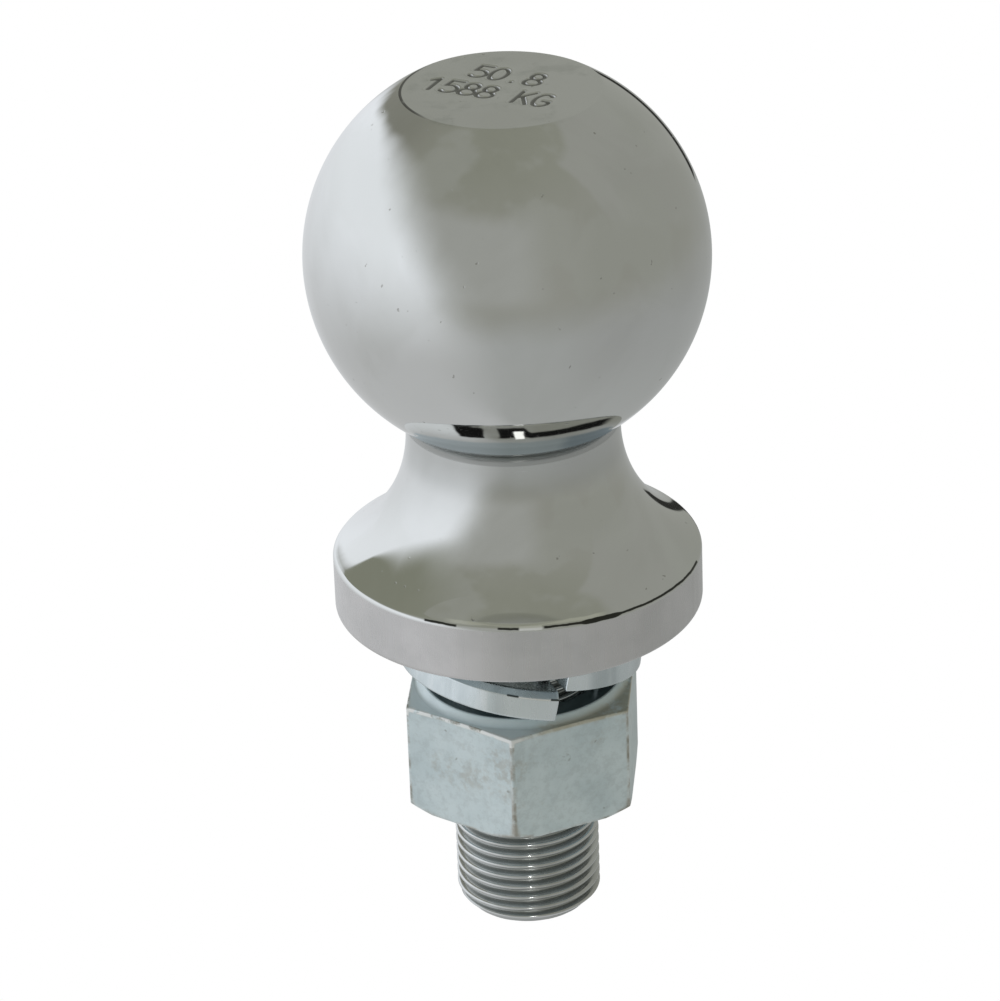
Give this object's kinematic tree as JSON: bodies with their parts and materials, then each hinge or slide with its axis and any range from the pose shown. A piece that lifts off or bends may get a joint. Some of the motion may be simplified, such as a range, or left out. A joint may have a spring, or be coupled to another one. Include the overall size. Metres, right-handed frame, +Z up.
{
  "type": "trailer hitch ball",
  "caption": "Chromed trailer hitch ball with a flat top, waisted neck and round flange on a threaded shank, with a split lock washer and a hex nut.",
  "frame": {"origin": "centre of the shank's end face", "axes": "+Z up along the shank's axis towards the ball, -Y the side seen in the usual front view, +X to its right"},
  "size_m": [0.0508, 0.0508, 0.1143],
  "materials": {
    "chrome": "polished chrome plate, bare steel on the thread",
    "washer_zinc": "bright blue-white zinc plate",
    "nut_zinc": "dull blue-white zinc plate with rubbed edges"
  },
  "bodies": {
    "ball": {"hitch_ball": "chrome"},
    "washer": {"lock_washer": "washer_zinc"},
    "nut": {"hex_nut": "nut_zinc"}
  },
  "joints": [
    {"name": "washer_travel", "type": "slide", "parent": "ball", "child": "washer", "axis": [0, 0, -1], "range_m": [-0.0024, 0.0336]},
    {"name": "nut_turn", "type": "hinge", "parent": "washer", "child": "nut", "pos_m": [0, 0, 0.025], "axis": [0, 0, -1], "range_deg": [-540, 7560]}
  ],
  "couplings": [
    {"joint": "washer_travel", "follows": "nut_turn", "m_per_rad": 0.00025266}
  ]
}
